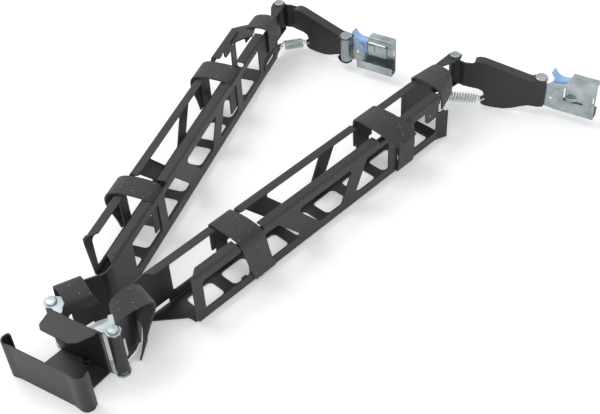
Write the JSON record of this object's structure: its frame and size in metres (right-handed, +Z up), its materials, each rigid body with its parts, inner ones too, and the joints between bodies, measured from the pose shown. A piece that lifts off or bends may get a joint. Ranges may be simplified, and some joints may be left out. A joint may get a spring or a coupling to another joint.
{
  "type": "server cable management arm",
  "caption": "Folding steel cable management arm for a rack server: cable baskets on a central elbow with a tray, swinging end links, rail latches, springs and straps.",
  "frame": {"origin": "on the underside of the elbow link's lower plate, half way between the two elbow pins", "axes": "+X from the elbow towards the rail latches, +Y towards the left basket, +Z up along the hinge pins"},
  "size_m": [0.4881, 0.353, 0.0517],
  "materials": {
    "black_steel": "satin",
    "zinc_steel": "satin",
    "spring_wire": "gloss",
    "blue_plastic": "satin",
    "strap_webbing": "matte"
  },
  "bodies": {
    "elbow": {"elbow_link": "zinc_steel", "cable_tray": "black_steel", "elbow_pin_left": "zinc_steel", "elbow_pin_right": "zinc_steel"},
    "left_arm": {"left_basket": "black_steel", "left_lower_strap": "strap_webbing", "left_upper_strap": "strap_webbing", "left_end_strap": "strap_webbing", "left_elbow_strap": "strap_webbing", "left_end_pin": "zinc_steel", "left_spring": "spring_wire"},
    "left_link": {"left_link_plate": "black_steel", "left_swivel_pin": "zinc_steel"},
    "left_latch": {"left_latch_body": "zinc_steel", "left_lever_rivet": "zinc_steel"},
    "left_lever": {"left_latch_lever": "blue_plastic"},
    "left_catch_leaf": {"left_catch": "zinc_steel"},
    "right_arm": {"right_basket": "black_steel", "right_lower_strap": "strap_webbing", "right_upper_strap": "strap_webbing", "right_end_strap": "strap_webbing", "right_elbow_strap": "strap_webbing", "right_end_pin": "zinc_steel", "right_spring": "spring_wire"},
    "right_link": {"right_link_plate": "black_steel", "right_swivel_pin": "zinc_steel"},
    "right_latch": {"right_latch_body": "zinc_steel", "right_lever_rivet": "zinc_steel"},
    "right_lever": {"right_latch_lever": "blue_plastic"},
    "right_catch_leaf": {"right_catch": "zinc_steel"}
  },
  "joints": [
    {"name": "left_elbow_hinge", "type": "hinge", "parent": "elbow", "child": "left_arm", "pos_m": [0, 0.0292, 0], "axis": [0, 0, 1], "range_deg": [-6, 79]},
    {"name": "left_end_hinge", "type": "hinge", "parent": "left_arm", "child": "left_link", "pos_m": [0.42508, 0.08743, 0], "axis": [0, 0, 1], "range_deg": [-8.8, 186], "deforming": ["left_spring"]},
    {"name": "left_swivel", "type": "hinge", "parent": "left_link", "child": "left_latch", "pos_m": [0.41722, 0.00581, 0], "axis": [0, 0, 1], "range_deg": [-85.5, 12]},
    {"name": "left_lever_hinge", "type": "hinge", "parent": "left_latch", "child": "left_lever", "pos_m": [0.41892, -0.01089, 0.0311], "axis": [-1, 0, 0], "range_deg": [0, 12], "stiffness_Nm_per_rad": 0.05},
    {"name": "left_catch_hinge", "type": "hinge", "parent": "left_latch", "child": "left_catch_leaf", "pos_m": [0.41892, -0.03739, 0.0296], "axis": [0, 0, 1], "range_deg": [0, 8]},
    {"name": "right_elbow_hinge", "type": "hinge", "parent": "elbow", "child": "right_arm", "pos_m": [0, -0.0292, 0], "axis": [0, 0, 1], "range_deg": [-76, 6]},
    {"name": "right_end_hinge", "type": "hinge", "parent": "right_arm", "child": "right_link", "pos_m": [0.42159, -0.10887, 0], "axis": [0, 0, 1], "range_deg": [-50, 140], "deforming": ["right_spring"]},
    {"name": "right_swivel", "type": "hinge", "parent": "right_link", "child": "right_latch", "pos_m": [0.4378, -0.18925, 0], "axis": [0, 0, 1], "range_deg": [-6, 85]},
    {"name": "right_lever_hinge", "type": "hinge", "parent": "right_latch", "child": "right_lever", "pos_m": [0.4361, -0.20595, 0.0311], "axis": [-1, 0, 0], "range_deg": [0, 12], "stiffness_Nm_per_rad": 0.05},
    {"name": "right_catch_hinge", "type": "hinge", "parent": "right_latch", "child": "right_catch_leaf", "pos_m": [0.4361, -0.23245, 0.0296], "axis": [0, 0, -1], "range_deg": [0, 8]}
  ],
  "couplings": [
    {"joint": "left_catch_hinge", "follows": "left_lever_hinge", "ratio": 0.65},
    {"joint": "right_catch_hinge", "follows": "right_lever_hinge", "ratio": 0.65}
  ]
}
